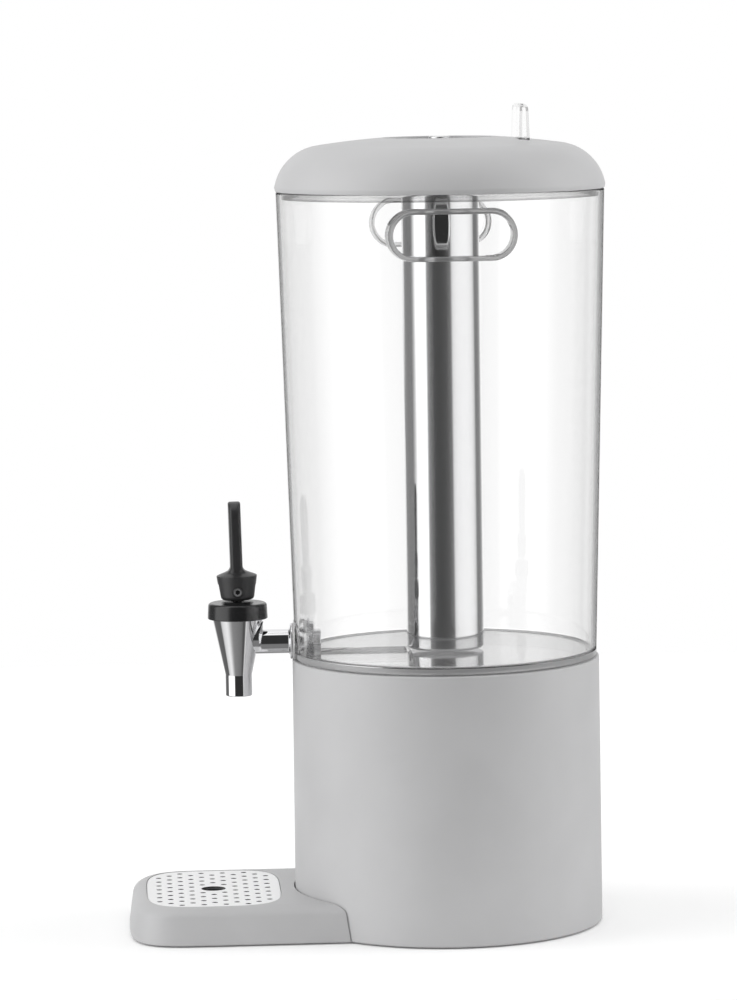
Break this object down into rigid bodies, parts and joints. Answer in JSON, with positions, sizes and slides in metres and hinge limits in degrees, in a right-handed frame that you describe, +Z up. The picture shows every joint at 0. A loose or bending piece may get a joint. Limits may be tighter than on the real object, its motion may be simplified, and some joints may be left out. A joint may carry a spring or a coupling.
{
  "type": "juice dispenser",
  "caption": "Countertop drinks dispenser: clear tapered tank with a self-closing tap, on a round stand, with a domed lid, a hanging ice tube, a label holder and a drip tray.",
  "frame": {"origin": "on the tank's upright axis, at the level of the table", "axes": "+Z up, -Y from the tank's axis towards the tap and the drip tray, +X to the right-hand grip when the tap is seen from behind"},
  "size_m": [0.2358, 0.3304, 0.5563],
  "materials": {
    "grey_plastic": "fine satin, light silver grey",
    "dark_plastic": "satin",
    "black_plastic": "semi-gloss",
    "white_plastic": "satin",
    "clear_plastic": "clear gloss plastic",
    "clear_holder": "clear gloss plastic",
    "chrome": "polished",
    "steel": "fine brushed",
    "silicone": "soft matte",
    "clear_silicone": "clear, soft",
    "dark_rubber": "matte"
  },
  "bodies": {
    "stand": {"base_shell": "grey_plastic", "base_cover": "dark_plastic", "base_screws": "steel", "foot_ring": "dark_rubber"},
    "tank": {"tank": "clear_plastic", "tap_body": "chrome", "tap_bonnet": "black_plastic", "outer_washer": "silicone", "inner_washer": "silicone", "tap_nut": "steel"},
    "stem": {"tap_stem": "steel", "lever_pin": "steel", "seat_cup": "silicone", "tap_spring": "steel"},
    "lever": {"tap_lever": "black_plastic"},
    "lid": {"lid": "grey_plastic", "lid_seal": "clear_silicone"},
    "ice_tube": {"ice_tube": "steel", "tube_gasket": "silicone"},
    "tube_cap": {"tube_cap": "steel", "cap_ring": "silicone"},
    "label_holder": {"label_holder": "clear_holder"},
    "tray": {"drip_tray": "grey_plastic", "tray_feet": "dark_rubber"},
    "grid": {"drip_grid": "white_plastic"}
  },
  "joints": [
    {"name": "tank_lift", "type": "slide", "parent": "stand", "child": "tank", "axis": [0, 0, 1], "range_m": [0, 0.06]},
    {"name": "stem_lift", "type": "slide", "parent": "tank", "child": "stem", "axis": [0, 0, 1], "range_m": [0, 0.0034], "stiffness_N_per_m": 4900, "springref_m": -0.0039, "deforming": ["tap_spring", "seat_cup"]},
    {"name": "lever_tilt", "type": "hinge", "parent": "stem", "child": "lever", "pos_m": [0, -0.1412, 0.2298], "axis": [1, 0, 0], "range_deg": [0, 25.2]},
    {"name": "lid_lift", "type": "slide", "parent": "tank", "child": "lid", "axis": [0, 0, 1], "range_m": [0, 0.36]},
    {"name": "tube_lift", "type": "slide", "parent": "lid", "child": "ice_tube", "axis": [0, 0, 1], "range_m": [0, 0.36]},
    {"name": "cap_lift", "type": "slide", "parent": "ice_tube", "child": "tube_cap", "axis": [0, 0, 1], "range_m": [0, 0.05]},
    {"name": "label_lift", "type": "slide", "parent": "lid", "child": "label_holder", "axis": [0, 0, 1], "range_m": [0, 0.05]},
    {"name": "tray_pull", "type": "slide", "parent": "stand", "child": "tray", "axis": [0, -1, 0], "range_m": [0, 0.12]},
    {"name": "grid_lift", "type": "slide", "parent": "tray", "child": "grid", "axis": [0, 0, 1], "range_m": [0, 0.05]}
  ],
  "couplings": [
    {"joint": "lever_tilt", "follows": "stem_lift", "rad_per_m": 128.2}
  ]
}
